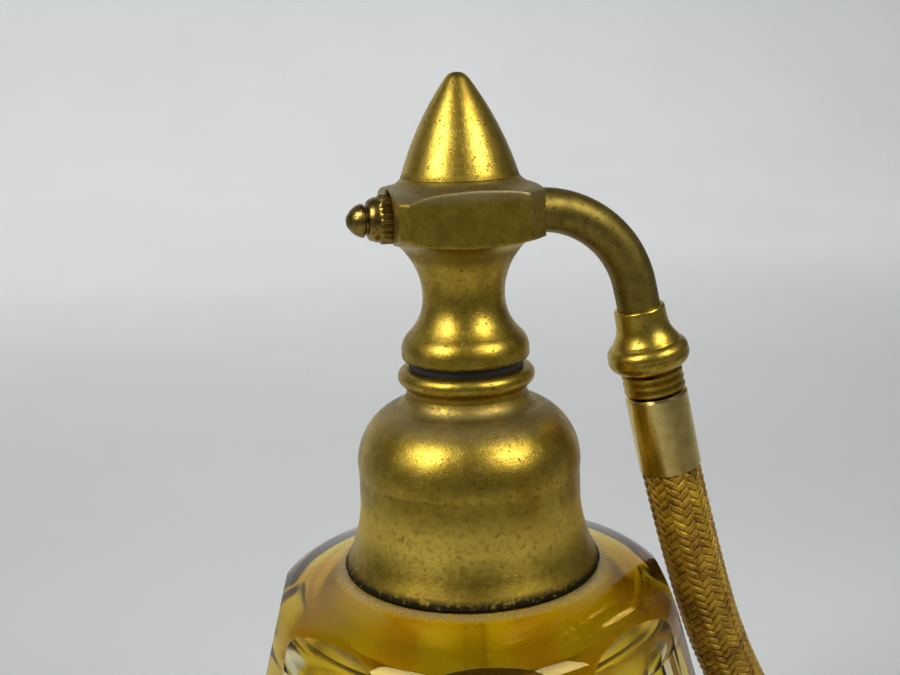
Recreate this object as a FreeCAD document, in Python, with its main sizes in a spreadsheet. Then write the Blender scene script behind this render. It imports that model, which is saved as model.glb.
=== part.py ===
"""Perfume atomiser: cut glass bottle, gilt brass collar and head, elbow, braided hose and netted squeeze bulb.

Millimetres, +Z up. The origin is the centre of the bottle's base. The nozzle points along -X and the elbow
leaves the head along +X. Turned pieces are drawn as an outline of (radius, height) points in their own frame,
with +Z along the piece's axis, and are then placed on the object.
"""
import FreeCAD, Part
import math
import os

import Sketcher

doc = FreeCAD.newDocument("perfume_atomiser")

# ---------------------------------------------------------------- driving dimensions
DIMENSIONS = {
    "BaseFlat": 30.54,          # bottle: radius of the flat that it stands on
    "SideFoot": 35.4,           # radius at the lower end of the flared side
    "SideFootHeight": 6.17,
    "SideTop": 22.5,            # radius at the upper end of the side
    "SideTopHeight": 56.5,
    "ShoulderEdge": 19.4,       # where the shoulder meets its rounded corner
    "ShoulderEdgeHeight": 59.6,
    "NeckRoot": 12.2,
    "NeckRootHeight": 61.2,
    "NeckOuter": 9.8,
    "NeckBore": 6.6,
    "NeckTop": 74.8,
    "GlassWall": 3.4,
    "FloorTop": 6.8,            # height of the glass floor inside
    "WindowDepth": 1.0,         # how deep each flat window is ground into the side
    "WindowReach": 9.0,
    "BottleTurn": -10.0,        # windows turned about the bottle's axis, degrees
    "RimRadius": 14.0,          # collar
    "RimHeight": 61.1,
    "BellWaist": 11.98,
    "BellWaistHeight": 68.4,
    "BellShoulder": 11.95,
    "BellShoulderHeight": 71.8,
    "BellCrown": 8.0,
    "BellCrownHeight": 78.95,
    "CollarWall": 0.8,
    "Groove": 6.48,
    "GrooveHeight": 80.35,
    "BeadRadius": 1.0,
    "BeadCentre": 6.32,
    "BeadHeight": 82.2,
    "CollarBore": 5.4,
    "ThreadBore": 4.36,
    "PlugRadius": 4.3,
    "PlugFoot": 76.3,
    "GasketFoot": 83.25,
    "FootHeight": 84.0,         # underside of the stem's foot
    "FootRadius": 6.8,
    "StemWaist": 4.36,
    "StemWaistHeight": 90.8,
    "StemTop": 6.0,
    "StemTopHeight": 95.5,
    "BlockRadius": 10.5,        # the round blank that the four flats are cut from
    "BlockHalfX": 7.6,
    "BlockHalfY": 7.4,
    "CornerRight": 2.2,         # corner chamfer on the elbow's side
    "CornerLeft": 0.8,          # corner chamfer on the nozzle's side
    "BlockTopHeight": 103.2,
    "NozzleHeight": 99.2,       # height of the nozzle's and the elbow's axis
    "ChamberRadius": 2.2,
    "ChamberFoot": 96.0,
    "FinialRadius": 6.15,
    "FinialTop": 113.65,
    "DipRadius": 1.45,
    "DipBore": 0.9,
    "DipFoot": 9.2,
    "NeedleRadius": 0.45,
    "NozzleRecess": 0.8,
    "RingRadius": 2.57,
    "RingLength": 2.95,
    "BushRadius": 1.5,
    "TipRadius": 1.73,
    "TipLength": 2.1,
    "TubeRadius": 2.35,         # elbow
    "TubeBore": 1.5,
    "TubeSocket": 2.4,          # how far the tube goes into the block
    "ElbowRadius": 11.1,
    "ElbowLean": 11.5,          # degrees that the lower end leans out from the vertical
    "ElbowTail": 5.6,           # straight stretch after the bend
    "SleeveRadius": 3.47,
    "HoseRadius": 3.4,
    "LinerRadius": 2.15,
    "LinerBore": 1.25,
    "BulbRadius": 17.6,         # rubber bulb
    "BulbHalfLength": 26.0,
    "BulbCentre": 36.0,         # from the mouth of the bulb's ferrule
    "BulbWall": 1.8,
    "NetRadius": 18.5,
    "NetHalfLength": 26.9,
    "NetThickness": 0.6,
    "ValveRadius": 3.3,
    "BallRadius": 1.35,
}

sheet = doc.addObject("Spreadsheet::Sheet", "Dims")
for row, (name, value) in enumerate(DIMENSIONS.items(), start=1):
    sheet.set(f"A{row}", name)
    sheet.set(f"B{row}", str(value))
    sheet.setAlias(f"B{row}", name)
doc.recompute()


class Size:
    """A length with the sheet expression that gives it, so that a sketch can use both."""

    def __init__(self, value, text):
        self.value = value
        self.text = text

    def __add__(self, other):
        return join(self, "+", other)

    def __radd__(self, other):
        return join(other, "+", self)

    def __sub__(self, other):
        return join(self, "-", other)

    def __rsub__(self, other):
        return join(other, "-", self)

    def __mul__(self, other):
        return join(self, "*", other)

    def __rmul__(self, other):
        return join(other, "*", self)

    def __truediv__(self, other):
        return join(self, "/", other)


def size(number):
    """A plain number as a Size."""
    if isinstance(number, Size):
        return number
    return Size(float(number), f"{number:.6g}")


def join(left, sign, right):
    left, right = size(left), size(right)
    results = {
        "+": left.value + right.value,
        "-": left.value - right.value,
        "*": left.value * right.value,
    }
    value = left.value / right.value if sign == "/" else results[sign]
    return Size(value, f"({left.text} {sign} {right.text})")


class Dimensions:
    """Each driving dimension as an attribute, read from the sheet."""

    def __getattr__(self, name):
        return Size(float(sheet.get(name)), f"Dims.{name}")


D = Dimensions()
UPRIGHT = FreeCAD.Placement()


# ---------------------------------------------------------------- helpers
def origin_plane(body, role):
    return next(f for f in body.Origin.OriginFeatures if f.Role == role)


def arc_centre(start, end, radius):
    """Centre of the short arc from start to end: on the left of the way for a positive radius."""
    along = end - start
    half = along.Length / 2
    left = FreeCAD.Vector(-along.y, along.x, 0).normalize()
    offset = math.sqrt(max(radius * radius - half * half, 0.0))
    return (start + end) * 0.5 + left * math.copysign(offset, radius)


def draw_outline(sketch, outline):
    """A closed outline of (x, y) corners, or (x, y, radius) where the edge up to that corner is an arc.

    Each corner is held by the sheet, and so is each arc's radius. A positive radius turns left."""
    corners = [tuple(size(number) for number in corner) for corner in outline]
    points = [FreeCAD.Vector(c[0].value, c[1].value, 0) for c in corners]
    geometry, ends, bound = [], [], []
    for index, corner in enumerate(corners):
        start, end = points[index - 1], points[index]
        if len(corner) == 2:
            geometry.append(Part.LineSegment(start, end))
            ends.append((1, 2))
            continue
        radius = corner[2].value
        centre = arc_centre(start, end, radius)
        circle = Part.Circle(centre, FreeCAD.Vector(0, 0, 1), abs(radius))
        first, last = (start, end) if radius > 0 else (end, start)
        low = math.atan2(first.y - centre.y, first.x - centre.x)
        high = math.atan2(last.y - centre.y, last.x - centre.x)
        geometry.append(Part.ArcOfCircle(circle, low, high if high > low else high + 2 * math.pi))
        ends.append((1, 2) if radius > 0 else (2, 1))
        text = corner[2].text if radius > 0 else f"-({corner[2].text})"
        bound.append((Sketcher.Constraint("Radius", index, abs(radius)), text))
    sketch.addGeometry(geometry, False)
    fixed = []
    for index, corner in enumerate(corners):
        following = (index + 1) % len(corners)
        tail, head = ends[index][1], ends[following][0]
        fixed.append(Sketcher.Constraint("Coincident", index, tail, following, head))
        for axis, name, number in ((-2, "DistanceX", corner[0]), (-1, "DistanceY", corner[1])):
            if abs(number.value) < 1e-9:
                fixed.append(Sketcher.Constraint("PointOnObject", index, tail, axis))
            else:
                held = Sketcher.Constraint(name, -1, 1, index, tail, number.value)
                bound.append((held, number.text))
    sketch.addConstraint(fixed)
    for constraint, text in bound:
        place = sketch.addConstraint(constraint)
        sketch.setExpression(f"Constraints[{place}]", text)


def new_sketch(body, name, role):
    sketch = body.newObject("Sketcher::SketchObject", name)
    sketch.AttachmentSupport = [(origin_plane(body, role), "")]
    sketch.MapMode = "FlatFace"
    return sketch


def turned(name, outline, placement=UPRIGHT):
    """A piece turned about its own Z axis."""
    body = doc.addObject("PartDesign::Body", name)
    sketch = new_sketch(body, name + "_outline", "XZ_Plane")
    draw_outline(sketch, outline)
    turn = body.newObject("PartDesign::Revolution", name + "_turn")
    turn.Profile = sketch
    turn.ReferenceAxis = (sketch, ["V_Axis"])
    turn.Angle = 360
    body.Tip = turn
    body.Placement = placement
    sketch.Visibility = False
    return body


def rod(name, radius, length, placement):
    """A plain cylinder, used as a tool or as a piece."""
    cylinder = doc.addObject("Part::Cylinder", name)
    cylinder.setExpression("Radius", size(radius).text)
    cylinder.setExpression("Height", size(length).text)
    cylinder.Placement = placement
    return cylinder


def cut(name, base, tools):
    """The base less its tools, as one object."""
    tool = tools[0]
    if len(tools) > 1:
        tool = doc.addObject("Part::MultiFuse", name + "_tools")
        tool.Shapes = tools
    result = doc.addObject("Part::Cut", name)
    result.Base = base
    result.Tool = tool
    return result


def along(start, direction):
    """A placement whose Z axis starts at a point and runs along a direction."""
    turn = FreeCAD.Rotation(FreeCAD.Vector(0, 0, 1), FreeCAD.Vector(*direction))
    return FreeCAD.Placement(FreeCAD.Vector(*start), turn)


def ring_outline(inner, outer, low, high):
    return [(inner, low), (outer, low), (outer, high), (inner, high)]


def threaded(radius, low, turns, pitch, depth):
    """Outline points going up a thread, drawn as rounded rings one pitch apart."""
    points = []
    for turn in range(turns):
        foot = low + turn * pitch
        points.append((radius - depth, foot))
        points.append((radius, foot + pitch * 0.3))
        points.append((radius, foot + pitch * 0.6))
        points.append((radius - depth, foot + pitch * 0.9))
    return points


pieces = []


# ---------------------------------------------------------------- bottle and collar
def glass_bottle():
    """Blown glass body with a thick floor, and eight flat windows ground into the flared side."""
    inner_top = D.SideTop - D.GlassWall
    inner_foot = D.SideFoot - D.GlassWall
    body = turned("glass_bottle", [
        (0, 0),
        (D.BaseFlat, 0),
        (D.SideFoot, D.SideFootHeight, 5.0),
        (D.SideTop, D.SideTopHeight),
        (D.ShoulderEdge, D.ShoulderEdgeHeight, 4.15),
        (D.NeckRoot, D.NeckRootHeight, 34.0),
        (D.NeckOuter, D.NeckRootHeight + 1.6, -1.9),
        (D.NeckOuter, D.NeckTop - 0.7),
        (D.NeckOuter - 0.7, D.NeckTop, 0.7),
        (D.NeckBore + 0.6, D.NeckTop),
        (D.NeckBore, D.NeckTop - 0.6, 0.6),
        (D.NeckBore, D.NeckRootHeight - 0.6),
        (D.NeckBore + 3.0, D.NeckRootHeight - 3.4, 3.4),
        (inner_top - 2.2, D.SideTopHeight - 1.2, -40.0),
        (inner_top + 0.6, D.SideTopHeight - 4.6, -3.4),
        (inner_foot - 0.4, D.FloorTop + 1.7),
        (inner_foot - 2.2, D.FloorTop, -1.9),
        (0, D.FloorTop),
    ])
    flare = (D.SideFoot - D.SideTop) / (D.SideTopHeight - D.SideFootHeight)
    top = D.ShoulderEdgeHeight + 3.4
    low_face = D.SideFoot + flare * D.SideFootHeight - D.WindowDepth
    top_face = D.SideTop - flare * (top - D.SideTopHeight) - D.WindowDepth
    sketch = new_sketch(body, "window_outline", "YZ_Plane")
    draw_outline(sketch, [
        (low_face, 0),
        (low_face + 8.0, 0),
        (top_face + 8.0, top),
        (top_face, top),
    ])
    window = body.newObject("PartDesign::Pocket", "window")
    window.Profile = sketch
    window.Midplane = True
    window.setExpression("Length", f"2 * {D.WindowReach.text}")
    pattern = body.newObject("PartDesign::PolarPattern", "windows")
    pattern.Originals = [window]
    pattern.Axis = (origin_plane(body, "Z_Axis"), [""])
    pattern.Angle = 360
    pattern.Occurrences = 8
    body.Tip = pattern
    turn = FreeCAD.Rotation(FreeCAD.Vector(0, 0, 1), D.BottleTurn.value)
    body.Placement = FreeCAD.Placement(FreeCAD.Vector(), turn)
    return body


def collar_shell():
    """Spun brass bell with a rolled bead at its top."""
    wall = D.CollarWall
    bead_low = D.BeadHeight - 0.85
    return turned("collar_shell", [
        (D.RimRadius - 0.75, D.RimHeight),
        (D.RimRadius - 0.1, D.RimHeight),
        (D.RimRadius, D.RimHeight + 0.35),
        (D.BellWaist, D.BellWaistHeight, -16.0),
        (D.BellShoulder, D.BellShoulderHeight),
        (D.BellCrown, D.BellCrownHeight, 6.6),
        (D.Groove, D.GrooveHeight, -2.0),
        (D.BeadCentre + 0.5, bead_low, -0.9),
        (D.BeadCentre + D.BeadRadius, D.BeadHeight, D.BeadRadius),
        (D.BeadCentre, D.BeadHeight + D.BeadRadius, D.BeadRadius),
        (D.CollarBore, D.BeadHeight + D.BeadRadius),
        (D.CollarBore, D.BellCrownHeight - 0.4),
        (D.BellCrown - 0.6, D.BellCrownHeight - wall - 0.5, -2.6),
        (D.BellShoulder - wall, D.BellShoulderHeight, -5.8),
        (D.BellWaist - wall, D.BellWaistHeight),
    ])


def collar_pieces():
    """What holds the collar on the neck: plaster, a lip washer and the threaded bush."""
    bell_inside = D.BellShoulder - D.CollarWall
    flange = D.NeckTop + 0.8
    cement = ring_outline(D.NeckOuter + 0.03, bell_inside - 0.05, D.NeckRootHeight + 2.6, D.NeckTop - 1.8)
    return [
        turned("neck_cement", cement),
        turned("neck_washer", ring_outline(D.NeckBore + 0.2, D.NeckOuter - 0.8, D.NeckTop, flange)),
        turned("collar_bush", [
            (D.ThreadBore, flange),
            (8.6, flange),
            (8.6, flange + 1.0),
            (D.CollarBore, flange + 1.0),
            (D.CollarBore, D.BeadHeight + 0.7),
            (D.ThreadBore, D.BeadHeight + 0.7),
        ]),
        turned("neck_gasket", ring_outline(D.PlugRadius + 0.15, 6.1, D.GasketFoot, D.FootHeight - 0.05)),
    ]


# ---------------------------------------------------------------- head
def corner_cutter():
    """What is milled off the round blank: everything outside a block with four flats and chamfered corners."""
    body = doc.addObject("PartDesign::Body", "block_cutter")
    ring = new_sketch(body, "cutter_blank", "XY_Plane")
    ring.addGeometry(Part.Circle(FreeCAD.Vector(), FreeCAD.Vector(0, 0, 1), D.BlockRadius.value + 3), False)
    ring.addConstraint(Sketcher.Constraint("Coincident", 0, 3, -1, 1))
    held = ring.addConstraint(Sketcher.Constraint("Radius", 0, D.BlockRadius.value + 3))
    ring.setExpression(f"Constraints[{held}]", (D.BlockRadius + 3).text)
    pad = body.newObject("PartDesign::Pad", "cutter_pad")
    pad.Profile = ring
    pad.Length = 8
    body.Tip = pad
    return body


def block_core():
    """The prism that is left inside the flats."""
    right, left, half = D.BlockHalfX, D.BlockHalfX, D.BlockHalfY
    body = doc.addObject("PartDesign::Body", "block_core")
    sketch = new_sketch(body, "block_section", "XY_Plane")
    shift = D.BlockHalfX + 10.0
    draw_outline(sketch, [
        (shift - left + D.CornerLeft, 10.0),
        (shift + right - D.CornerRight, 10.0),
        (shift + right, 10.0 + D.CornerRight),
        (shift + right, 10.0 + 2 * half - D.CornerRight),
        (shift + right - D.CornerRight, 10.0 + 2 * half),
        (shift - left + D.CornerLeft, 10.0 + 2 * half),
        (shift - left, 10.0 + 2 * half - D.CornerLeft),
        (shift - left, 10.0 + D.CornerLeft),
    ])
    pad = body.newObject("PartDesign::Pad", "core_pad")
    pad.Profile = sketch
    pad.Length = 8
    body.Tip = pad
    body.Placement.Base = FreeCAD.Vector(-shift.value, -10.0 - half.value, 0)
    return body


def stem_body():
    """Foot, waisted stem and block, with the air chamber drilled from the top."""
    blank = turned("stem_blank", [
        (0, D.FootHeight),
        (D.FootRadius - 0.5, D.FootHeight),
        (D.FootRadius, D.FootHeight + 0.5, 0.5),
        (D.FootRadius, D.FootHeight + 1.3),
        (5.9, D.FootHeight + 2.95, 2.6),
        (D.StemWaist, D.StemWaistHeight - 0.4, -5.4),
        (D.StemWaist, D.StemWaistHeight + 0.4),
        (D.StemTop, D.StemTopHeight, -7.4),
        (7.6, 96.75, -3.0),
        (D.BlockRadius - 0.5, 97.75, 4.0),
        (D.BlockRadius, 98.6, 1.2),
        (D.BlockRadius, 100.6),
        (D.BlockRadius - 0.9, 101.55, 1.2),
        (7.7, 102.25, 4.0),
        (D.FinialRadius, D.BlockTopHeight, -2.2),
        (0, D.BlockTopHeight),
    ])
    milled = cut("block_corners", corner_cutter(), [block_core()])
    milled.Placement.Base = FreeCAD.Vector(0, 0, 95.9)
    height = D.NozzleHeight.value
    sides = [
        rod("chamber_tool", D.ChamberRadius, 10, along((0, 0, D.ChamberFoot.value), (0, 0, 1))),
        rod("riser_tool", D.DipRadius + 0.03, 14, along((0, 0, D.FootHeight.value - 1), (0, 0, 1))),
        rod("plug_tool", 2.83, 3.2, along((0, 0, D.FootHeight.value), (0, 0, 1))),
        rod("air_tool", D.TubeBore, 8, along((0, 0, height), (1, 0, 0))),
        rod("socket_tool", D.TubeRadius + 0.02, 4, along((5.2, 0, height), (1, 0, 0))),
        rod("bush_tool", D.BushRadius + 0.02, 9, along((0, 0, height), (-1, 0, 0))),
        rod("recess_tool", D.RingRadius + 0.45, 3, along((-6.8, 0, height), (-1, 0, 0))),
        milled,
    ]
    return cut("stem_body", blank, sides)


def head_pieces():
    """The pieces fixed in the head."""
    height = D.NozzleHeight.value
    plug = [(D.DipRadius + 0.03, D.PlugFoot), (D.PlugRadius - 0.5, D.PlugFoot)]
    plug += threaded(D.PlugRadius, D.PlugFoot + 0.4, 7, 0.95, 0.28)
    plug += [
        (D.PlugRadius - 0.3, D.FootHeight - 0.6),
        (D.PlugRadius - 0.3, D.FootHeight),
        (2.8, D.FootHeight),
        (2.8, D.FootHeight + 3.0),
        (D.DipRadius + 0.03, D.FootHeight + 3.0),
    ]
    finial_foot = D.BlockTopHeight
    return [
        turned("stem_plug", plug),
        turned("finial_cap", [
            (0, finial_foot - 2.0),
            (D.ChamberRadius - 0.05, finial_foot - 2.0),
            (D.ChamberRadius - 0.05, finial_foot),
            (D.FinialRadius, finial_foot),
            (1.25, D.FinialTop - 0.62, 33.0),
            (0.3, D.FinialTop, 1.5),
            (0, D.FinialTop),
        ]),
        turned("dip_tube", ring_outline(D.DipBore, D.DipRadius, D.DipFoot, D.NozzleHeight + 1.2)),
        turned("jet_needle", ring_outline(0.2, D.NeedleRadius, 1.5, 10.9), along((0, 0, height), (-1, 0, 0))),
        turned("nozzle_bush", ring_outline(0.8, D.BushRadius, 2.25, 9.3), along((0, 0, height), (-1, 0, 0))),
    ]


def nozzle_pieces():
    """Knurled cap with its domed tip: they turn together on the nozzle bush."""
    foot = D.BlockHalfX - D.NozzleRecess + 0.15
    shoulder = foot + D.RingLength
    bore = D.BushRadius + 0.06
    place = along((0, 0, D.NozzleHeight.value), (-1, 0, 0))
    return [
        turned("nozzle_ring", [
            (bore, foot),
            (D.RingRadius - 0.15, foot),
            (D.RingRadius, foot + 0.15),
            (D.RingRadius, foot + 1.7),
            (D.RingRadius - 0.22, foot + 1.82),
            (2.0, shoulder, 2.2),
            (bore, shoulder),
        ], place),
        turned("nozzle_tip", [
            (0.95, shoulder - 0.42),
            (D.BushRadius + 0.04, shoulder - 0.42),
            (D.BushRadius + 0.04, shoulder),
            (D.TipRadius - 0.28, shoulder),
            (D.TipRadius - 0.28, shoulder + 0.18),
            (D.TipRadius, shoulder + 0.36),
            (D.TipRadius, shoulder + 0.62),
            (0.75, shoulder + D.TipLength - 0.22, 2.1),
            (0.3, shoulder + D.TipLength, 0.7),
            (0.3, shoulder + D.TipLength - 0.55),
            (0.95, shoulder + D.TipLength - 1.1),
        ], place),
    ]


# ---------------------------------------------------------------- elbow and hose fitting
LEAN = math.radians(D.ElbowLean.value)
DOWN = FreeCAD.Vector(math.sin(LEAN), 0, -math.cos(LEAN))
BEND_START = FreeCAD.Vector(D.BlockHalfX.value + 0.55, 0, D.NozzleHeight.value)
BEND_CENTRE = BEND_START - FreeCAD.Vector(0, 0, D.ElbowRadius.value)
OUTWARD = FreeCAD.Vector(math.cos(LEAN), 0, math.sin(LEAN))
BEND_END = BEND_CENTRE + OUTWARD * D.ElbowRadius.value
FERRULE = BEND_END + DOWN * (D.ElbowTail.value - 3.2)
SLEEVE_MOUTH = 19.0             # from the ferrule's upper lip, along the fitting
COUPLING_FOOT = 10.6            # where the hose liner starts inside the sleeve


def pipe(name, path, outer, inner):
    """A tube along a path of lines and tangent arcs."""
    first = path.OrderedEdges[0]
    start = path.OrderedVertexes[0].Point
    direction = first.tangentAt(first.FirstParameter)
    solids = []
    for radius in (outer, inner):
        profile = Part.Wire(Part.makeCircle(radius, start, direction))
        solids.append(path.makePipeShell([profile], True, True))
    tube = solids[0].cut(solids[1])
    piece = doc.addObject("Part::Feature", name)
    piece.Shape = tube
    expected = math.pi * (outer * outer - inner * inner) * path.Length
    print(f"{name}: volume {tube.Volume:.1f}, section times length {expected:.1f}, length {path.Length:.1f}")
    return piece


def elbow_tube():
    half_turn = (math.pi / 2 - LEAN) / 2
    top = FreeCAD.Vector(math.sin(half_turn), 0, math.cos(half_turn))
    start = FreeCAD.Vector(D.BlockHalfX.value - D.TubeSocket.value + 0.02, 0, D.NozzleHeight.value)
    path = Part.Wire([
        Part.LineSegment(start, BEND_START).toShape(),
        Part.Arc(BEND_START, BEND_CENTRE + top * D.ElbowRadius.value, BEND_END).toShape(),
        Part.LineSegment(BEND_END, BEND_END + DOWN * D.ElbowTail.value).toShape(),
    ])
    return pipe("elbow_tube", path, D.TubeRadius.value, D.TubeBore.value)


def fitting_pieces():
    """Turned cup on the tube's end, its washer, the threaded coupling and the crimped sleeve."""
    place = along(FERRULE, DOWN)
    coupling = [(0.7, 4.45), (2.95, 4.45), (2.95, 7.2)]
    coupling += threaded(3.38, 7.22, 3, 0.9, 0.5)
    coupling += [
        (D.LinerRadius, 9.9),
        (D.LinerRadius, COUPLING_FOOT - 0.05),
        (D.LinerBore - 0.05, COUPLING_FOOT - 0.05),
        (D.LinerBore - 0.05, 17.4),
        (0.7, 17.4),
    ]
    return [
        turned("elbow_ferrule", [
            (D.TubeRadius + 0.02, 0),
            (2.55, 0),
            (2.8, 0.35, 0.35),
            (2.85, 1.7),
            (3.6, 3.7, -3.4),
            (3.75, 4.1),
            (4.45, 5.35, 1.2),
            (3.75, 6.85, 1.3),
            (3.3, 7.1),
            (3.0, 7.1),
            (3.0, 3.9),
            (2.0, 3.9),
            (2.0, 3.25),
            (D.TubeRadius + 0.02, 3.25),
        ], place),
        turned("coupling_washer", ring_outline(1.2, 2.9, 3.95, 4.4), place),
        turned("hose_coupling", coupling, place),
        turned("hose_sleeve", [
            (D.LinerRadius + 0.05, 10.0),
            (D.SleeveRadius - 0.25, 10.0),
            (D.SleeveRadius, 10.25),
            (D.SleeveRadius, SLEEVE_MOUTH - 0.1),
            (D.SleeveRadius - 0.1, SLEEVE_MOUTH),
            (D.LinerRadius + 0.05, SLEEVE_MOUTH),
        ], place),
    ]


HOSE_EXIT = FERRULE + DOWN * SLEEVE_MOUTH
HOSE_ROUTE = [
    HOSE_EXIT,
    FreeCAD.Vector(26.3, 0.3, 57.2),
    FreeCAD.Vector(30.9, 2.4, 44.3),
    FreeCAD.Vector(37.6, 4.2, 31.4),
    FreeCAD.Vector(45.8, 2.6, 19.4),
    FreeCAD.Vector(54.0, -4.0, 10.2),
    FreeCAD.Vector(60.4, -14.8, 5.5),
    FreeCAD.Vector(64.6, -27.0, 5.9),
    FreeCAD.Vector(67.0, -38.2, 9.24),
]


def rounded_path(points):
    """Straight runs joined by tangent arcs, each as large as its two runs allow."""
    edges, last = [], points[0]
    for before, corner, after in zip(points, points[1:], points[2:]):
        back = (before - corner).normalize()
        ahead = (after - corner).normalize()
        half_turn = (math.pi - back.getAngle(ahead)) / 2
        reach = 0.45 * min((before - corner).Length, (after - corner).Length)
        radius = reach / math.tan(half_turn)
        middle = (back + ahead).normalize()
        centre = corner + middle * (radius / math.cos(half_turn))
        start, end = corner + back * reach, corner + ahead * reach
        edges.append(Part.LineSegment(last, start).toShape())
        edges.append(Part.Arc(start, centre - middle * radius, end).toShape())
        last = end
        print(f"hose bend of {math.degrees(2 * half_turn):.1f} degrees, radius {radius:.1f}")
    edges.append(Part.LineSegment(last, points[-1]).toShape())
    return Part.Wire(edges)


def hose_pieces():
    """Braided cover from sleeve to ferrule, and the rubber liner that goes on into both."""
    into_bulb = (HOSE_ROUTE[-1] - HOSE_ROUTE[-2]).normalize()
    inner_start = FERRULE + DOWN * COUPLING_FOOT
    inner_end = HOSE_ROUTE[-1] + into_bulb * 6.0
    liner = [inner_start] + HOSE_ROUTE[1:-1] + [inner_end]
    return [
        pipe("hose_braid", rounded_path(HOSE_ROUTE), D.HoseRadius.value, D.LinerRadius.value + 0.05),
        pipe("hose_liner", liner_path(liner), D.LinerRadius.value, D.LinerBore.value),
    ]


def liner_path(points):
    """The braid's own path, run on at both ends."""
    braid = rounded_path(HOSE_ROUTE)
    head = Part.LineSegment(points[0], HOSE_ROUTE[0]).toShape()
    tail = Part.LineSegment(HOSE_ROUTE[-1], points[-1]).toShape()
    return Part.Wire([head] + braid.Edges + [tail])


# ---------------------------------------------------------------- squeeze bulb
BULB_AXIS = (HOSE_ROUTE[-1] - HOSE_ROUTE[-2]).normalize()
BULB_PLACE = along(HOSE_ROUTE[-1], BULB_AXIS)


def ellipse_radius(half_length, radius, station):
    """Radius of an ellipsoid about the bulb's centre at a station along its axis."""
    share = (station - D.BulbCentre.value) / half_length
    return radius * math.sqrt(1 - share * share)


def oval_shell(name, outer, inner, low, high, bore_low, bore_high):
    """A shell of revolution between two ovals of (half length, radius), cut square at both ends.

    bore_low and bore_high are the radii of the openings at its two ends."""
    def oval(half_length, radius, first, last):
        ellipse = Part.Ellipse(FreeCAD.Vector(0, 0, D.BulbCentre.value + half_length),
                               FreeCAD.Vector(radius, 0, D.BulbCentre.value),
                               FreeCAD.Vector(0, 0, D.BulbCentre.value))
        start = FreeCAD.Vector(ellipse_radius(half_length, radius, first), 0, first)
        end = FreeCAD.Vector(ellipse_radius(half_length, radius, last), 0, last)
        low_at, high_at = sorted((ellipse.parameter(start), ellipse.parameter(end)))
        return ellipse.toShape(low_at, high_at), start, end
    inner_low = D.BulbCentre.value - inner[0] * math.sqrt(1 - (bore_low / inner[1]) ** 2)
    inner_high = D.BulbCentre.value + inner[0] * math.sqrt(1 - (bore_high / inner[1]) ** 2)
    inner_low, inner_high = max(low, inner_low), min(high, inner_high)
    outside, out_low, out_high = oval(*outer, low, high)
    inside, in_low, in_high = oval(*inner, inner_low, inner_high)
    edges = [outside, inside]
    for oval_end, hole_end in ((out_low, in_low), (out_high, in_high)):
        corner = FreeCAD.Vector(hole_end.x, 0, oval_end.z)
        edges.append(Part.LineSegment(oval_end, corner).toShape())
        if (corner - hole_end).Length > 1e-6:
            edges.append(Part.LineSegment(corner, hole_end).toShape())
    section = Part.Face(Part.Wire(Part.__sortEdges__(edges)))
    solid = section.revolve(FreeCAD.Vector(), FreeCAD.Vector(0, 0, 1), 360)
    piece = doc.addObject("Part::Feature", name)
    piece.Shape = solid
    piece.Placement = BULB_PLACE
    return piece


def rubber_bulb():
    """Hollow oval with a thick neck at each end, which grip the two valve bodies."""
    neck = D.ValveRadius.value + 0.05
    low = D.BulbCentre.value - D.BulbHalfLength.value * math.sqrt(1 - (5.7 / D.BulbRadius.value) ** 2)
    high = 2 * D.BulbCentre.value - low
    inner = (D.BulbHalfLength.value - D.BulbWall.value, D.BulbRadius.value - D.BulbWall.value)
    shell = oval_shell("bulb_wall", (D.BulbHalfLength.value, D.BulbRadius.value), inner, low, high, neck, neck)
    front = turned("bulb_front_neck", ring_outline(neck, 5.7, 7.3, low), BULB_PLACE)
    back = turned("bulb_back_neck", ring_outline(neck, 5.7, high, 63.9), BULB_PLACE)
    whole = doc.addObject("Part::MultiFuse", "rubber_bulb")
    whole.Shapes = [shell, front, back]
    return whole


def net_cover():
    inner = (D.NetHalfLength.value - D.NetThickness.value, D.NetRadius.value - D.NetThickness.value)
    outer = (D.NetHalfLength.value, D.NetRadius.value)
    return oval_shell("net_cover", outer, inner, 11.25, 60.75, 0.0, 0.0)


def valve_body(name, barb, low, high, chamber_low, chamber_high):
    """Brass valve body with a ball chamber; the outlet's has a barb for the hose liner."""
    outline = [(0.7, low), (D.ValveRadius, low)]
    if barb:
        outline = [(0.7, 1.0), (D.LinerBore - 0.05, 1.0), (D.LinerBore - 0.05, 6.15), (5.6, 6.15), (5.6, 7.2),
                   (D.ValveRadius, 7.2)]
    outline += [
        (D.ValveRadius, high),
        (0.7, high),
        (0.7, chamber_high),
        (D.BallRadius + 0.4, chamber_high),
        (D.BallRadius + 0.4, chamber_low),
        (0.7, chamber_low),
    ]
    return turned(name, outline, BULB_PLACE)


def valve_ball(name, station):
    ball = doc.addObject("Part::Sphere", name)
    ball.setExpression("Radius", D.BallRadius.text)
    ball.Placement = FreeCAD.Placement(HOSE_ROUTE[-1] + BULB_AXIS * station, FreeCAD.Rotation())
    return ball


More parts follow.
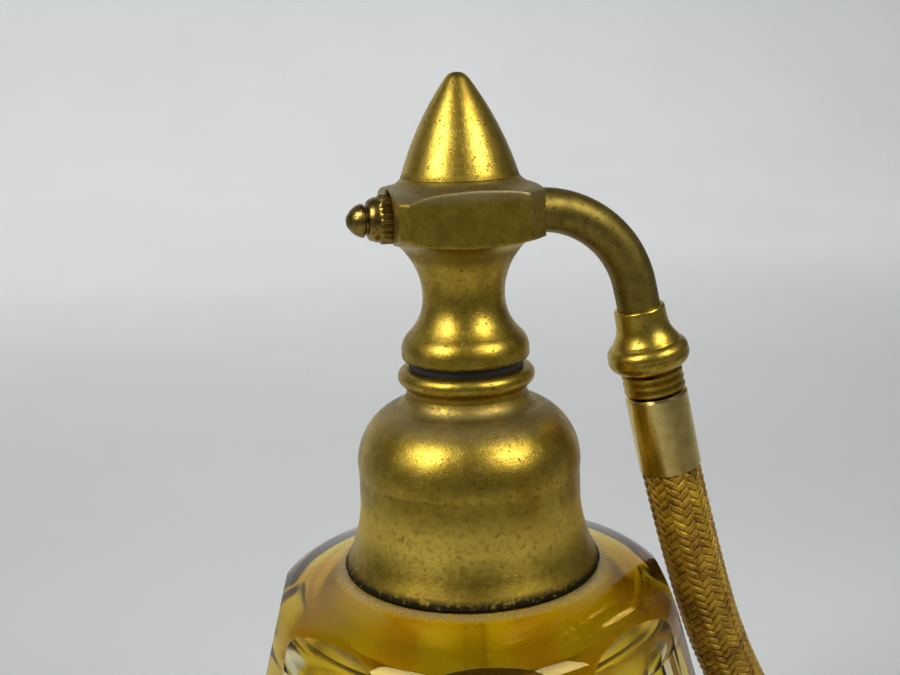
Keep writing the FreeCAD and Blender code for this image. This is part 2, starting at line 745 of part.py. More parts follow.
def bulb_pieces():
    return [
        turned("bulb_ferrule", [
            (D.LinerRadius + 0.05, 0),
            (D.SleeveRadius - 0.1, 0),
            (D.SleeveRadius, 0.1),
            (D.SleeveRadius, 2.6),
            (6.35, 5.5, -3.3),
            (6.5, 9.3),
            (7.1, 10.0, 0.75),
            (6.5, 10.9, 0.85),
            (5.8, 11.0),
            (5.8, 7.25),
            (5.75, 6.05),
            (D.LinerRadius + 0.05, 6.05),
        ], BULB_PLACE),
        valve_body("outlet_valve_body", True, 6.15, 13.5, 8.0, 11.6),
        valve_ball("outlet_valve_ball", 9.3),
        rubber_bulb(),
        net_cover(),
        turned("tail_cap", [
            (5.8, 61.0),
            (6.5, 61.0),
            (7.1, 61.8, 0.75),
            (6.5, 62.6, 0.85),
            (6.3, 64.2),
            (4.6, 65.6, 2.4),
            (2.0, 65.6),
            (2.0, 64.0),
            (5.8, 64.0),
        ], BULB_PLACE),
        valve_body("inlet_valve_body", False, 58.2, 63.95, 59.4, 63.1),
        valve_ball("inlet_valve_ball", 60.7),
    ]


# ---------------------------------------------------------------- build and write
pieces += [glass_bottle(), collar_shell()] + collar_pieces()
pieces += [stem_body()] + head_pieces() + nozzle_pieces()
pieces += [elbow_tube()] + fitting_pieces() + hose_pieces() + bulb_pieces()
doc.recompute()

for thing in doc.Objects:
    if "Invalid" in thing.State or "Error" in thing.State:
        raise RuntimeError(f"{thing.Label} did not recompute: {thing.State}")

os.makedirs("parts", exist_ok=True)
for piece in pieces:
    shape = piece.Shape
    if shape.isNull() or not shape.isValid() or shape.Volume <= 0:
        raise RuntimeError(f"{piece.Label} is not a valid solid")
    shape.exportStep(f"parts/{piece.Label}.step")
    box = shape.optimalBoundingBox()
    print(f"{piece.Label:20s} solids {len(shape.Solids)} volume {shape.Volume:9.1f} "
          f"z {box.ZMin:7.2f} to {box.ZMax:7.2f}")
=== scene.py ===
"""Perfume atomiser: the looks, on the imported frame. Metres, +Z up, the nozzle along -X and the hose along +X."""
import math

import bpy
from mathutils import Matrix, Vector


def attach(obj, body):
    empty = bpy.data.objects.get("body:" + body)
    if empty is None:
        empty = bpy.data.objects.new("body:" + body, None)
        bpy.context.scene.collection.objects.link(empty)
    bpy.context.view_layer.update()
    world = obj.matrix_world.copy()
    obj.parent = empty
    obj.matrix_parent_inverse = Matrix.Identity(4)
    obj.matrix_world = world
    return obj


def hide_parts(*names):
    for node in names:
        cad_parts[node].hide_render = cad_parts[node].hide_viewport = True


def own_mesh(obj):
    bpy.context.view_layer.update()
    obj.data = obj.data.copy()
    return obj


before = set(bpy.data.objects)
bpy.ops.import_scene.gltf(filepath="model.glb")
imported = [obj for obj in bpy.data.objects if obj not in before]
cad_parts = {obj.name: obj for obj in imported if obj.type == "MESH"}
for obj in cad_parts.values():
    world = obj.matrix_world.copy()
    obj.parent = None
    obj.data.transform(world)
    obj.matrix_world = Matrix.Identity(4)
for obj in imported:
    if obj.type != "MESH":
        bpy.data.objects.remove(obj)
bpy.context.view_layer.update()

MM = 0.001
scene = bpy.context.scene


# ---------------------------------------------------------------- camera
def add_camera():
    """Looking slightly down from in front, a little to the nozzle's side, and rolled about two degrees."""
    azimuth, pitch, roll = math.radians(-12.0), math.radians(13.0), math.radians(2.07)
    ahead = Vector((-math.sin(azimuth), math.cos(azimuth), 0))
    level = Vector((math.cos(azimuth), math.sin(azimuth), 0))
    upward = ahead * math.sin(pitch) + Vector((0, 0, math.cos(pitch)))
    back = -(ahead * math.cos(pitch) - Vector((0, 0, math.sin(pitch))))
    right = level * math.cos(roll) - upward * math.sin(roll)
    up = level * math.sin(roll) + upward * math.cos(roll)
    place = ahead * -0.124 - level * 0.0016 + Vector((0, 0, 0.1148))
    data = bpy.data.cameras.new("camera")
    data.lens = 48.0
    data.sensor_width = 36.0
    data.clip_start = 0.01
    camera = bpy.data.objects.new("camera", data)
    scene.collection.objects.link(camera)
    matrix = Matrix((right, up, back)).transposed().to_4x4()
    matrix.translation = place
    camera.matrix_world = matrix
    scene.camera = camera


add_camera()


# ---------------------------------------------------------------- material helpers
class Graph:
    """A material's node tree, with short calls for the nodes that are used here."""

    def __init__(self, name):
        self.material = bpy.data.materials.new(name)
        self.material.use_nodes = True
        self.tree = self.material.node_tree
        self.shader = self.tree.nodes["Principled BSDF"]
        self.place = self.node("ShaderNodeTexCoord").outputs["Object"]

    def node(self, kind, **settings):
        node = self.tree.nodes.new(kind)
        for key, value in settings.items():
            setattr(node, key, value)
        return node

    def put(self, socket, value):
        if isinstance(value, bpy.types.NodeSocket):
            self.tree.links.new(value, socket)
        elif isinstance(value, (tuple, list)) and len(value) == 3 and len(socket.default_value) == 4:
            socket.default_value = (*value, 1.0)
        else:
            socket.default_value = value

    def set(self, name, value):
        self.put(self.shader.inputs[name], value)

    def noise(self, scale, detail=4.0, rough=0.55, distortion=0.0, where=None):
        node = self.node("ShaderNodeTexNoise")
        self.put(node.inputs["Vector"], where or self.place)
        node.inputs["Scale"].default_value = scale
        node.inputs["Detail"].default_value = detail
        node.inputs["Roughness"].default_value = rough
        node.inputs["Distortion"].default_value = distortion
        return node.outputs["Fac"]

    def cells(self, scale):
        node = self.node("ShaderNodeTexVoronoi")
        self.put(node.inputs["Vector"], self.place)
        node.inputs["Scale"].default_value = scale
        return node.outputs["Distance"]

    def ramp(self, value, low, high, to_low=0.0, to_high=1.0):
        node = self.node("ShaderNodeMapRange")
        self.put(node.inputs["Value"], value)
        for name, number in (("From Min", low), ("From Max", high), ("To Min", to_low), ("To Max", to_high)):
            node.inputs[name].default_value = number
        return node.outputs["Result"]

    def math(self, operation, first, second=0.0):
        node = self.node("ShaderNodeMath", operation=operation)
        self.put(node.inputs[0], first)
        self.put(node.inputs[1], second)
        return node.outputs[0]

    def mix(self, share, first, second):
        node = self.node("ShaderNodeMix", data_type="RGBA")
        self.put(node.inputs[0], share)
        self.put(node.inputs[6], first)
        self.put(node.inputs[7], second)
        return node.outputs[2]

    def split(self, vector):
        node = self.node("ShaderNodeSeparateXYZ")
        self.put(node.inputs[0], vector)
        return node.outputs[0], node.outputs[1], node.outputs[2]

    def stretched(self, x, y, z):
        node = self.node("ShaderNodeMapping")
        self.put(node.inputs["Vector"], self.place)
        node.inputs["Scale"].default_value = (x, y, z)
        return node.outputs["Vector"]

    def bump(self, height, strength, distance, normal=None):
        node = self.node("ShaderNodeBump")
        self.put(node.inputs["Height"], height)
        node.inputs["Strength"].default_value = strength
        node.inputs["Distance"].default_value = distance
        if normal:
            self.put(node.inputs["Normal"], normal)
        self.put(self.shader.inputs["Normal"], node.outputs["Normal"])


def near(graph, value, centre, half):
    """One at a height, falling to nothing a half width away."""
    off = graph.math("ABSOLUTE", graph.math("SUBTRACT", value, centre))
    return graph.ramp(off, half, half * 0.25)


def brass(name, bright, body, dark, rough=(0.31, 0.50), patches=85.0, pits=0.59, bevel=0.0, bands=()):
    """Old gilt brass: brown tarnish in patches, cloudy mottling, speckle, fine dark pits,
    faint scratches round it, and tints in the given bands.

    bands are (height, half width, colour, strength), all along Z."""
    graph = Graph(name)
    tarnish = graph.math("MULTIPLY", graph.ramp(graph.noise(patches, 5.0, 0.62, 0.6), 0.42, 0.72), 0.75)
    colour = graph.mix(tarnish, body, dark)
    clouds = graph.ramp(graph.noise(620.0, 6.0, 0.65), 0.40, 0.66)
    colour = graph.mix(graph.math("MULTIPLY", clouds, 0.34), colour, bright)
    speckle = graph.ramp(graph.noise(1500.0, 3.0, 0.7), 0.52, 0.62)
    colour = graph.mix(graph.math("MULTIPLY", speckle, 0.30), colour, dark)
    grain = graph.noise(5200.0, 3.0, 0.6)
    pit_field = graph.noise(2300.0, 5.0, 0.7)
    pit_mask = graph.ramp(pit_field, pits, pits + 0.07)
    colour = graph.mix(graph.math("MULTIPLY", pit_mask, 0.85), colour, tuple(c * 0.22 for c in dark))
    height = graph.split(graph.place)[2]
    rough_now = graph.ramp(graph.math("ADD", graph.math("MULTIPLY", tarnish, 0.6), graph.math("MULTIPLY", grain, 0.5)),
                           0.15, 0.95, rough[0], rough[1])
    for centre, half, tint, strength in bands:
        ragged = graph.math("MULTIPLY", graph.ramp(graph.noise(1700.0, 4.0, 0.6), 0.22, 0.5), strength)
        mask = graph.math("MULTIPLY", near(graph, height, centre, half), ragged)
        colour = graph.mix(mask, colour, tint)
        rough_now = graph.math("ADD", rough_now, graph.math("MULTIPLY", mask, 0.22))
    graph.set("Base Color", colour)
    graph.set("Roughness", rough_now)
    graph.set("Metallic", 1.0)
    relief = graph.math("SUBTRACT", graph.math("MULTIPLY", grain, 1.0), graph.math("MULTIPLY", pit_mask, 0.5))
    relief = graph.math("ADD", relief, graph.math("MULTIPLY", graph.noise(700.0, 4.0), 1.2))
    scratch = graph.noise(300.0, 3.0, 0.6, 0.0, graph.stretched(1.0, 1.0, 7.0))
    relief = graph.math("ADD", relief, graph.math("MULTIPLY", graph.ramp(scratch, 0.62, 0.70), -0.12))
    normal = None
    if bevel:
        edge = graph.node("ShaderNodeBevel", samples=6)
        edge.inputs["Radius"].default_value = bevel
        normal = edge.outputs["Normal"]
    graph.bump(relief, 0.38, 0.00005, normal)
    return graph.material


BRIGHT = (0.80, 0.59, 0.10)
BODY = (0.43, 0.285, 0.032)
DARK = (0.23, 0.150, 0.019)
GRIME = (0.030, 0.024, 0.012)
HAZE = (0.30, 0.26, 0.15)

head_brass = brass("head_brass", BRIGHT, BODY, DARK, bevel=0.00045, bands=(
    (0.0841, 0.0005, GRIME, 0.8), (0.0953, 0.0009, DARK, 0.6), (0.1021, 0.0011, HAZE, 0.75)))
collar_brass = brass("collar_brass", BRIGHT, BODY, DARK, bands=(
    (0.0672, 0.0034, BRIGHT, 0.8), (0.0616, 0.0020, DARK, 0.8), (0.0610, 0.0014, GRIME, 1.6),
    (0.0803, 0.0007, DARK, 0.8), (0.0788, 0.0016, HAZE, 0.5)))
finial_brass = brass("finial_brass", BRIGHT, (0.56, 0.375, 0.048), DARK, rough=(0.30, 0.46), bands=(
    (0.1033, 0.0006, DARK, 0.7), (0.11365, 0.0004, GRIME, 0.7)))
# painted shade: the elbow's brass is a darker copy of the head's brass, darkened to stand in for the shade on the
# elbow
shaded_elbow_brass = brass("shaded_elbow_brass", (0.48, 0.36, 0.08), (0.23, 0.165, 0.03), (0.12, 0.085, 0.018),
                    rough=(0.42, 0.60), patches=140.0)
fitting_brass = brass("fitting_brass", (0.84, 0.63, 0.12), (0.56, 0.38, 0.048), DARK, rough=(0.28, 0.44))
plain_brass = brass("plain_brass", (0.86, 0.68, 0.20), (0.60, 0.44, 0.09), (0.32, 0.22, 0.04),
                    rough=(0.2, 0.34), pits=0.7)
sleeve_brass = brass("sleeve_brass", (0.92, 0.76, 0.34), (0.74, 0.56, 0.18), (0.46, 0.31, 0.07),
                     rough=(0.12, 0.22), pits=0.74)
dark_brass = brass("dark_brass", (0.66, 0.46, 0.10), (0.27, 0.175, 0.04), (0.09, 0.058, 0.016),
                   rough=(0.24, 0.42), patches=420.0, pits=0.58)


def rubber(name, colour):
    graph = Graph(name)
    cloud = graph.ramp(graph.noise(160.0, 5.0), 0.35, 0.7)
    graph.set("Base Color", graph.mix(cloud, colour, tuple(min(1.0, c * 1.7 + 0.01) for c in colour)))
    graph.set("Roughness", graph.ramp(graph.noise(500.0), 0.3, 0.7, 0.48, 0.66))
    graph.bump(graph.noise(2600.0, 4.0), 0.25, 0.00008)
    return graph.material


def plaster():
    graph = Graph("plaster")
    cloud = graph.ramp(graph.noise(600.0), 0.35, 0.65)
    graph.set("Base Color", graph.mix(cloud, (0.62, 0.58, 0.49), (0.75, 0.72, 0.65)))
    graph.set("Roughness", graph.ramp(graph.noise(1500.0), 0.3, 0.7, 0.75, 0.95))
    graph.bump(graph.noise(1600.0, 6.0), 0.5, 0.0002)
    return graph.material


def cork():
    graph = Graph("cork")
    grain = graph.ramp(graph.cells(900.0), 0.1, 0.5)
    graph.set("Base Color", graph.mix(grain, (0.20, 0.11, 0.05), (0.45, 0.28, 0.14)))
    graph.set("Roughness", graph.ramp(graph.noise(900.0), 0.3, 0.7, 0.7, 0.9))
    graph.bump(graph.cells(900.0), 0.4, 0.0001)
    return graph.material


def steel():
    graph = Graph("steel")
    graph.set("Base Color", graph.mix(graph.noise(1500.0), (0.42, 0.42, 0.43), (0.62, 0.62, 0.63)))
    graph.set("Metallic", 1.0)
    graph.set("Roughness", graph.ramp(graph.noise(2000.0), 0.3, 0.7, 0.15, 0.3))
    graph.bump(graph.noise(4000.0), 0.1, 0.00003)
    return graph.material


def thread(name, light, deep, fibres):
    """Silk thread: fine streaks, a soft sheen, and a darker tone mixed in at random as painted shade for the hollows
    between the strands.
    """
    graph = Graph(name)
    streak = graph.noise(fibres, 3.0, 0.6)
    # painted shade: the deep colour stands in for the hollows between the strands, placed by noise
    tone = graph.ramp(graph.noise(420.0, 4.0), 0.35, 0.68)
    colour = graph.mix(tone, deep, light)
    colour = graph.mix(graph.math("MULTIPLY", graph.ramp(streak, 0.5, 0.72), 0.6), colour,
                       tuple(min(1.0, c * 1.5) for c in light))
    graph.set("Base Color", colour)
    graph.set("Roughness", graph.ramp(streak, 0.3, 0.7, 0.24, 0.50))
    graph.set("Metallic", 0.35)
    graph.set("Sheen Weight", 0.08)
    graph.set("Sheen Tint", (1.0, 0.75, 0.3))
    graph.set("Specular IOR Level", 0.45)
    graph.bump(streak, 0.5, 0.00008)
    return graph.material


braid_silk = thread("braid_silk", (0.62, 0.37, 0.02), (0.19, 0.085, 0.002), 5200.0)
net_silk = thread("net_silk", (0.68, 0.40, 0.05), (0.40, 0.21, 0.02), 4200.0)
black_rubber = rubber("black_rubber", (0.012, 0.012, 0.012))
bulb_rubber = rubber("bulb_rubber", (0.15, 0.085, 0.03))


# The bottle's side as (radius, height) at its foot and top, how deep the windows are ground and where they end, in mm.
SIDE_FOOT, SIDE_TOP = (35.4, 6.17), (22.5, 56.5)
WINDOW_DEPTH, WINDOW_END = 1.0, 63.0
FLARE = (SIDE_FOOT[0] - SIDE_TOP[0]) / (SIDE_TOP[1] - SIDE_FOOT[1])
WINDOW_TURN = math.radians(10.0)
WINDOW_PITCH = math.radians(45.0)
WINDOW_LOW = ((SIDE_FOOT[0] + FLARE * SIDE_FOOT[1] - WINDOW_DEPTH) * MM, 0.0)
WINDOW_TOP = ((SIDE_TOP[0] - FLARE * (WINDOW_END - SIDE_TOP[1]) - WINDOW_DEPTH) * MM, WINDOW_END * MM)


def amber_glass():
    """Glass with an amber skin on its outside, and clear where the eight windows are ground through it."""
    graph = Graph("amber_glass")
    turned = graph.node("ShaderNodeMapping")
    graph.put(turned.inputs["Vector"], graph.place)
    turned.inputs["Rotation"].default_value = (0, 0, WINDOW_TURN)
    x, y, z = graph.split(turned.outputs["Vector"])
    angle = graph.math("ARCTAN2", y, x)
    folded = graph.math("PINGPONG", angle, WINDOW_PITCH / 2)
    radius = graph.math("SQRT", graph.math("ADD", graph.math("MULTIPLY", x, x), graph.math("MULTIPLY", y, y)))
    reach = graph.math("MULTIPLY", radius, graph.math("COSINE", folded))
    plane = graph.ramp(z, 0.0, WINDOW_TOP[1], WINDOW_LOW[0], WINDOW_TOP[0])
    off = graph.math("SUBTRACT", reach, plane)
    ground = graph.ramp(off, -0.00005, -0.00001)
    outside = graph.math("MAXIMUM", graph.ramp(off, -0.0028, -0.0026), graph.ramp(z, 0.0570, 0.0572))
    skin = graph.math("MULTIPLY", outside, graph.math("SUBTRACT", 1.0, ground))
    patch = graph.ramp(graph.noise(75.0, 3.0, 0.5), 0.38, 0.66)
    amber = graph.mix(patch, (0.72, 0.49, 0.001), (0.70, 0.37, 0.001))
    stain = graph.math("MULTIPLY", graph.ramp(z, 0.044, 0.053), graph.math("SUBTRACT", 1.0, ground))
    colour = graph.mix(graph.math("MAXIMUM", skin, stain), (0.97, 0.98, 0.98), amber)
    rim = near(graph, radius, 0.0142, 0.0013)
    haze = graph.math("MULTIPLY", rim, graph.ramp(z, 0.0600, 0.0603))
    haze = graph.math("MULTIPLY", haze, graph.ramp(graph.noise(2600.0, 4.0, 0.6), 0.2, 0.6))
    inside = graph.math("MULTIPLY", graph.ramp(z, 0.050, 0.055), graph.math("SUBTRACT", 1.0, outside))
    # painted shadow: a dark olive ring on the inner shoulder round the neck stands in for the shade cast there
    ring = graph.math("MULTIPLY", inside, near(graph, radius, 0.0165, 0.0040))
    colour = graph.mix(graph.math("MULTIPLY", ring, 0.85), colour, (0.22, 0.17, 0.002))
    graph.set("Base Color", graph.mix(graph.math("MULTIPLY", haze, 0.9), colour, (0.25, 0.22, 0.16)))
    smear = graph.ramp(graph.noise(260.0, 5.0), 0.5, 0.75, 0.0, 0.035)
    rough = graph.math("ADD", smear, graph.math("MULTIPLY", inside, 0.2))
    graph.set("Roughness", graph.math("ADD", rough, graph.math("MULTIPLY", haze, 0.45)))
    graph.set("Transmission Weight", graph.math("SUBTRACT", 1.0, graph.math("MULTIPLY", haze, 0.7)))
    graph.set("IOR", 1.5)
    graph.set("Specular Tint", (1.0, 0.82, 0.30, 1.0))
    graph.bump(graph.noise(120.0, 2.0), 0.10, 0.00012)
    body = graph.node("ShaderNodeVolumeAbsorption")
    body.inputs["Color"].default_value = (1.0, 0.80, 0.01, 1.0)
    body.inputs["Density"].default_value = 70.0
    graph.tree.links.new(body.outputs["Volume"], graph.tree.nodes["Material Output"].inputs["Volume"])
    return graph.material


def clear_glass():
    graph = Graph("clear_glass")
    film = graph.ramp(graph.noise(420.0, 4.0), 0.42, 0.70)
    graph.set("Base Color", graph.mix(film, (0.97, 0.98, 0.96), (0.90, 0.86, 0.66)))
    graph.set("Roughness", graph.math("MULTIPLY", film, 0.05))
    graph.set("Transmission Weight", 1.0)
    graph.set("IOR", 1.47)
    return graph.material


# ---------------------------------------------------------------- mesh helpers
def mesh_piece(name, points, faces, material):
    mesh = bpy.data.meshes.new(name)
    mesh.from_pydata([tuple(p) for p in points], [], faces)
    mesh.validate()
    for polygon in mesh.polygons:
        polygon.use_smooth = True
    mesh.materials.append(material)
    piece = bpy.data.objects.new(name, mesh)
    scene.collection.objects.link(piece)
    return piece


def tube_mesh(path, normals, section):
    """Points and faces of a section of (across, out) offsets swept along a path with given outward normals."""
    points, faces = [], []
    count = len(section)
    last = len(path) - 1
    for index, (spot, out) in enumerate(zip(path, normals)):
        ahead = (path[min(index + 1, last)] - path[max(index - 1, 0)]).normalized()
        across = ahead.cross(out).normalized()
        outward = across.cross(ahead).normalized()
        points += [spot + across * a + outward * o for a, o in section]
    for index in range(last):
        for side in range(count):
            a = index * count + side
            b = index * count + (side + 1) % count
            faces.append((a, b, b + count, a + count))
    faces.append(tuple(range(count - 1, -1, -1)))
    faces.append(tuple(last * count + side for side in range(count)))
    return points, faces


def oval_section(width, height, count=8):
    turns = [2 * math.pi * i / count for i in range(count)]
    return [(width / 2 * math.cos(t), height / 2 * math.sin(t)) for t in turns]


def gather(name, parts, material):
    points, faces = [], []
    for more_points, more_faces in parts:
        base = len(points)
        points += more_points
        faces += [tuple(base + i for i in face) for face in more_faces]
    return mesh_piece(name, points, faces, material)


def frame_along(origin, direction):
    """Matrix that takes +Z to a direction and the origin to a point."""
    turn = Vector((0, 0, 1)).rotation_difference(direction).to_matrix().to_4x4()
    turn.translation = origin
    return turn


def turned_mesh(profile, matrix, count=96, ripple=None):
    """A turned skin from (radius, height) points; ripple(angle, radius, height) gives each point's radius."""
    points, faces = [], []
    for radius, height in profile:
        for step in range(count):
            angle = 2 * math.pi * step / count
            r = ripple(angle, radius, height) if ripple else radius
            points.append(matrix @ Vector((r * math.cos(angle), r * math.sin(angle), height)))
    for row in range(len(profile) - 1):
        for step in range(count):
            a = row * count + step
            b = row * count + (step + 1) % count
            faces.append((a, b, b + count, a + count))
    return points, faces


# ---------------------------------------------------------------- hose
LEAN = math.radians(11.5)                # the elbow's lower end leans out from the vertical by this
DOWN = Vector((math.sin(LEAN), 0, -math.cos(LEAN)))
BEND_CENTRE, BEND_RADIUS = Vector((8.15, 0, 88.1)) * MM, 11.1
STRAIGHT, FITTINGS = 2.4, 19.0           # tube below the bend, and ferrule to hose, in mm
BEND_END = BEND_CENTRE + Vector((math.cos(LEAN), 0, math.sin(LEAN))) * BEND_RADIUS * MM
HOSE_EXIT = BEND_END + DOWN * STRAIGHT * MM + DOWN * FITTINGS * MM
ROUTE = [
    HOSE_EXIT,
    Vector((26.3, 0.3, 57.2)) * MM,
    Vector((30.9, 2.4, 44.3)) * MM,
    Vector((37.6, 4.2, 31.4)) * MM,
    Vector((45.8, 2.6, 19.4)) * MM,
    Vector((54.0, -4.0, 10.2)) * MM,
    Vector((60.4, -14.8, 5.5)) * MM,
    Vector((64.6, -27.0, 5.9)) * MM,
    Vector((67.0, -38.2, 9.24)) * MM,
]
HOSE_RADIUS = 3.4 * MM


def hose_line():
    """Evenly dense points along the hose's own smooth spline."""
    curve = bpy.data.curves.new("hose_route", "CURVE")
    curve.dimensions = "3D"
    curve.resolution_u = 64
    spline = curve.splines.new("NURBS")
    spline.points.add(len(ROUTE) - 1)
    for point, spot in zip(spline.points, ROUTE):
        point.co = (*spot, 1.0)
    spline.order_u = 3
    spline.use_endpoint_u = True
    holder = bpy.data.objects.new("hose_route", curve)
    scene.collection.objects.link(holder)
    bpy.context.view_layer.update()
    mesh = bpy.data.meshes.new_from_object(holder)
    points = [v.co.copy() for v in mesh.vertices]
    bpy.data.objects.remove(holder)
    bpy.data.meshes.remove(mesh)
    if (points[0] - ROUTE[0]).length > (points[-1] - ROUTE[0]).length:
        points.reverse()
    return points


def walk(points):
    """Distances along a line of points, and a sideways direction carried along it without twist."""
    far, sides = [0.0], []
    last = len(points) - 1
    side = Vector((0, 1, 0))
    for index, spot in enumerate(points):
        ahead = (points[min(index + 1, last)] - points[max(index - 1, 0)]).normalized()
        side = (side - ahead * side.dot(ahead)).normalized()
        sides.append((side.copy(), ahead.cross(side)))
        if index:
            far.append(far[-1] + (spot - points[index - 1]).length)
    return far, sides


class Line:
    """A smooth line that can be asked for its point and its two sideways directions at any distance."""

    def __init__(self, points):
        self.points = points
        self.far, self.sides = walk(points)
        self.length = self.far[-1]
        self.cursor = 0

    def at(self, distance):
        distance = min(max(distance, 0.0), self.length)
        if distance < self.far[self.cursor]:
            self.cursor = 0
        while self.cursor < len(self.far) - 2 and self.far[self.cursor + 1] < distance:
            self.cursor += 1
        i = self.cursor
        share = (distance - self.far[i]) / max(self.far[i + 1] - self.far[i], 1e-9)
        spot = self.points[i].lerp(self.points[i + 1], share)
        first = self.sides[i][0].lerp(self.sides[i + 1][0], share)
        second = self.sides[i][1].lerp(self.sides[i + 1][1], share)
        return spot, first, second


def braid():
    """Thirty-two silk strands, sixteen each way, over two and under two, in upright herringbone columns."""
    line = Line(hose_line())
    carriers, turn_length = 16, 16.8 * MM
    middle, swing = HOSE_RADIUS - 0.36 * MM, 0.17 * MM
    steps = int(line.length / (0.26 * MM))
    parts = []
    for way in (1, -1):
        for carrier in range(carriers):
            path, normals = [], []
            for step in range(steps + 1):
                distance = line.length * step / steps
                share = carrier / carriers + way * distance / turn_length
                column = 2 * carriers * share
                weave = way * math.cos(math.pi / 2 * (column - 0.5))
                weave = max(-1.0, min(1.0, weave * 1.3))
                spot, first, second = line.at(distance)
                out = first * math.cos(2 * math.pi * share) + second * math.sin(2 * math.pi * share)
                path.append(spot + out * (middle + swing * weave))
                normals.append(out)
            parts.append(tube_mesh(path, normals, oval_section(0.80 * MM, 0.34 * MM, 6)))
    core = [line.at(line.length * step / 200) for step in range(201)]
    parts.append(tube_mesh([c[0] for c in core], [c[1] for c in core], oval_section(5.7 * MM, 5.7 * MM, 24)))
    piece = gather("hose", parts, braid_silk)
    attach(piece, "head")
    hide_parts("hose_braid")


braid()


# ---------------------------------------------------------------- squeeze bulb
BULB_AXIS = (ROUTE[-1] - ROUTE[-2]).normalized()
BULB = frame_along(ROUTE[-1], BULB_AXIS)
BULB_CENTRE = 36.0 * MM


def oval_radius(half_length, radius, station):
    share = (station - BULB_CENTRE) / half_length
    return radius * math.sqrt(max(1 - share * share, 0.0))


def squeezed(piece, node):
    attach(piece, "head")
    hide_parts(node)
    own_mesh(piece)


def rubber_skin():
    profile = [(5.7 * MM, 7.3 * MM)]
    steps = 60
    for step in range(steps + 1):
        angle = math.pi * (0.10 + 0.80 * step / steps)
        station = BULB_CENTRE - 26.0 * MM * math.cos(angle)
        profile.append((max(17.55 * MM * math.sin(angle), 5.6 * MM), station))
    profile.append((5.7 * MM, 63.9 * MM))
    piece = mesh_piece("bulb", *turned_mesh(profile, BULB, 96), bulb_rubber)
    squeezed(piece, "rubber_bulb")


def net():
    """Two families of silk threads that cross in diamonds over the bulb."""
    parts = []
    threads, low, high = 30, 11.5 * MM, 60.5 * MM
    steps = 90
    for way in (1, -1):
        for index in range(threads):
            path, normals = [], []
            for step in range(steps + 1):
                share = step / steps
                station = BULB_CENTRE - 26.6 * MM * math.cos(math.pi * (0.128 + 0.744 * share))
                station = min(max(station, low), high)
                radius = oval_radius(26.55 * MM, 18.05 * MM, station) + 0.12 * MM * way
                angle = 2 * math.pi * (index / threads + way * 0.30 * share)
                out = Vector((math.cos(angle), math.sin(angle), 0))
                path.append(BULB @ (out * radius + Vector((0, 0, station))))
                normals.append(BULB.to_3x3() @ out)
            parts.append(tube_mesh(path, normals, oval_section(0.62 * MM, 0.42 * MM, 6)))
    for station, radius in ((11.6, 6.75), (12.1, 7.2), (59.9, 7.2), (60.4, 6.75)):
        ring, outs = [], []
        for step in range(73):
            angle = 2 * math.pi * step / 72
            out = Vector((math.cos(angle), math.sin(angle), 0))
            ring.append(BULB @ (out * radius * MM + Vector((0, 0, station * MM))))
            outs.append(BULB.to_3x3() @ out)
        parts.append(tube_mesh(ring, outs, oval_section(0.7 * MM, 0.7 * MM, 8)))
    piece = gather("bulb_net", parts, net_silk)
    squeezed(piece, "net_cover")


rubber_skin()
net()


# ---------------------------------------------------------------- nozzle
def knurled_ring():
    """The nozzle's ring with its coarse knurl, and the smooth cone in front of it."""
    place = frame_along(Vector((0, 0, 99.2)) * MM, Vector((-1, 0, 0)))
    foot = 6.95
    ribs = 22
    profile = [(1.58, foot), (2.35, foot), (2.5, foot + 0.12), (2.56, foot + 0.28)]
    profile += [(2.56, foot + 0.28 + 1.3 * i / 10) for i in range(1, 11)]
    profile += [(2.42, foot + 1.72), (2.3, foot + 1.84), (2.34, foot + 2.0), (2.22, foot + 2.4), (2.06, foot + 2.75),
                (1.85, foot + 2.92), (1.58, foot + 2.95)]
    profile = [(r * MM, z * MM) for r, z in profile]

    def ripple(angle, radius, height):
        inside = (height / MM - foot - 0.1) * (foot + 1.75 - height / MM)
        if radius < 2.3 * MM or inside < 0:
            return radius
        groove = abs(math.sin(angle * ribs / 2)) ** 0.6
        return radius - 0.26 * MM * (1 - groove) * min(1.0, inside * 3)

    piece = mesh_piece("nozzle_knurl", *turned_mesh(profile, place, 264, ripple), dark_brass)
    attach(piece, "nozzle")
    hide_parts("nozzle_ring")


knurled_ring()


# ---------------------------------------------------------------- carried-over CAD pieces
FINISHES = {
    "glass_bottle": amber_glass(),
    "neck_cement": plaster(),
    "collar_shell": collar_brass,
    "collar_bush": plain_brass,
    "neck_washer": cork(),
    "neck_gasket": black_rubber,
    "stem_body": head_brass,
    "stem_plug": plain_brass,
    "finial_cap": finial_brass,
    "dip_tube": clear_glass(),
    "jet_needle": plain_brass,
    "nozzle_bush": dark_brass,
    "nozzle_tip": dark_brass,
    "elbow_tube": shaded_elbow_brass,
    "elbow_ferrule": fitting_brass,
    "coupling_washer": black_rubber,
    "hose_coupling": fitting_brass,
    "hose_sleeve": sleeve_brass,
    "hose_liner": black_rubber,
    "bulb_ferrule": sleeve_brass,
    "outlet_valve_body": plain_brass,
    "tail_cap": sleeve_brass,
    "inlet_valve_body": plain_brass,
    "outlet_valve_ball": steel(),
    "inlet_valve_ball": steel(),
}


def node_object(name):
    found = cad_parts[name]
    return bpy.data.objects[found] if isinstance(found, str) else found


for node_name, finish in FINISHES.items():
    node = node_object(node_name)
    for slot in node.material_slots:
        slot.material = finish


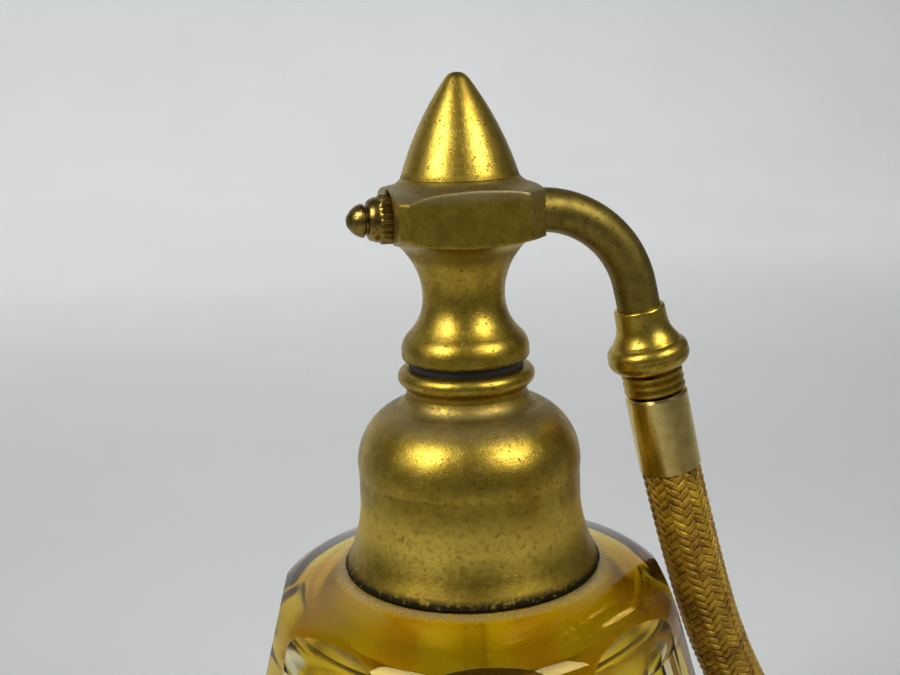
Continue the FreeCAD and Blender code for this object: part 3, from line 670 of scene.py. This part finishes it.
# ---------------------------------------------------------------- stage and light
def stage():
    """Pale floor that curves up into a backdrop."""
    graph = Graph("pale_paper")
    shade = graph.ramp(graph.noise(9.0, 3.0), 0.3, 0.7)
    graph.set("Base Color", graph.mix(shade, (0.63, 0.645, 0.64), (0.66, 0.675, 0.67)))
    graph.set("Roughness", 0.8)
    front, turn_from, curve, top, half_width = -2.2, 0.55, 0.35, 1.6, 2.6
    line = [(front, 0.0), (turn_from, 0.0)]
    for step in range(1, 13):
        angle = step * math.pi / 24
        line.append((turn_from + curve * math.sin(angle), curve - curve * math.cos(angle)))
    line.append((turn_from + curve, top))
    points = [Vector((side, y, z - 0.00005)) for y, z in line for side in (-half_width, half_width)]
    faces = [(2 * i, 2 * i + 1, 2 * i + 3, 2 * i + 2) for i in range(len(line) - 1)]
    mesh_piece("floor", points, faces, graph.material)


def area_light(name, place, aim, size, power, spread, in_gloss=True):
    data = bpy.data.lights.new(name, "AREA")
    data.shape = "RECTANGLE"
    data.size, data.size_y = size
    data.energy = power
    data.spread = math.radians(spread)
    light = bpy.data.objects.new(name, data)
    light.location = place
    light.rotation_euler = (Vector(aim) - Vector(place)).to_track_quat("-Z", "Y").to_euler()
    light.visible_glossy = in_gloss
    scene.collection.objects.link(light)


def lights():
    aim = (0, 0, 0.09)
    area_light("key_left", (-0.297, -0.145, 0.36), aim, (0.15, 0.20), 0.20, spread=70)
    area_light("key_right", (0.212, -0.253, 0.36), aim, (0.15, 0.20), 0.16, spread=70)
    area_light("overhead", (0.0, 0.85, 1.10), (0, 0.50, 0), (1.6, 0.5), 4.3, spread=110, in_gloss=False)
    area_light("backdrop", (0.0, 0.35, 1.0), (0, 0.95, 0.20), (1.6, 0.3), 4.1, spread=110, in_gloss=False)
    world = bpy.data.worlds.new("world")
    scene.world = world
    world.use_nodes = True
    background = world.node_tree.nodes["Background"]
    background.inputs["Color"].default_value = (0.95, 0.98, 1.0, 1)
    background.inputs["Strength"].default_value = 0.10


stage()
lights()
scene.view_settings.view_transform = "Standard"
